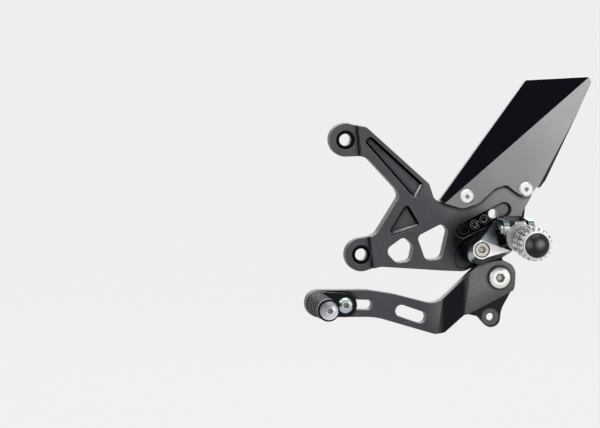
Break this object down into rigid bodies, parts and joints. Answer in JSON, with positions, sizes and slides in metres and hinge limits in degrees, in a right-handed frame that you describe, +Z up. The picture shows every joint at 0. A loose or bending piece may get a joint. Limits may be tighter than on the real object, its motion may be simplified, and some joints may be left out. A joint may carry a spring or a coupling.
{
  "type": "rear set footrest",
  "caption": "Rear-set motorcycle footrest with folding knurled peg, heel guard and gear-shift lever on a frame-bolted plate.",
  "frame": {"origin": "on the upper frame bolt's axis, in the plane of the main plate's back face", "axes": "+X towards the rear of the motorcycle along the plate, +Y into the motorcycle, +Z up; the peg points to -Y"},
  "size_m": [0.211, 0.0956, 0.1787],
  "materials": {
    "bracket_black": "black anodised, brushed satin",
    "plate_black": "black anodised satin",
    "screw_black": "black oxide",
    "guard_grey": "black anodised, brushed",
    "screw_bright": "polished stainless",
    "holder_silver": "clear anodised, machined",
    "bolt_steel": "stainless",
    "pin_steel": "ground steel",
    "spring_steel": "dull spring steel",
    "barrel_silver": "clear anodised, knurled",
    "cap_black": "gloss black",
    "lever_black": "black anodised, brushed satin",
    "bush_bronze": "sintered bronze",
    "carrier_black": "black",
    "screw_zinc": "zinc plated",
    "spindle_steel": "turned steel",
    "sleeve_rubber": "ribbed rubber"
  },
  "bodies": {
    "frame_side": {"main_bracket": "bracket_black", "adjuster_plate": "plate_black", "adjuster_screws": "screw_black", "heel_guard": "guard_grey", "guard_screws": "screw_bright", "peg_holder": "holder_silver", "holder_bolt": "bolt_steel", "holder_washer": "bolt_steel", "hinge_pin": "pin_steel", "pin_clip": "spring_steel", "fold_spring": "spring_steel", "lever_washer": "bolt_steel", "lever_pivot_bolt": "bolt_steel", "pivot_nut": "screw_zinc"},
    "footpeg": {"peg_barrel": "barrel_silver", "peg_end_cap": "cap_black"},
    "lever": {"shift_lever": "lever_black", "lever_bushing": "bush_bronze"},
    "toe_end": {"toe_carrier": "carrier_black", "carrier_screw": "screw_zinc", "carrier_nut": "screw_zinc", "toe_peg_spindle": "spindle_steel", "toe_peg_sleeve": "sleeve_rubber", "toe_peg_end_screw": "screw_bright"}
  },
  "joints": [
    {"name": "footpeg_fold", "type": "hinge", "parent": "frame_side", "child": "footpeg", "pos_m": [0.1202, -0.026, -0.064], "axis": [-1, 0, 0], "range_deg": [0, 80], "stiffness_Nm_per_rad": 0.02, "springref_deg": -34.38},
    {"name": "lever_swing", "type": "hinge", "parent": "frame_side", "child": "lever", "pos_m": [0.1085, -0.0151, -0.0987], "axis": [0, 1, 0], "range_deg": [-8, 8]},
    {"name": "toe_peg_slide", "type": "slide", "parent": "lever", "child": "toe_end", "axis": [0.9989, 0, -0.0467], "range_m": [0, 0.016]}
  ]
}
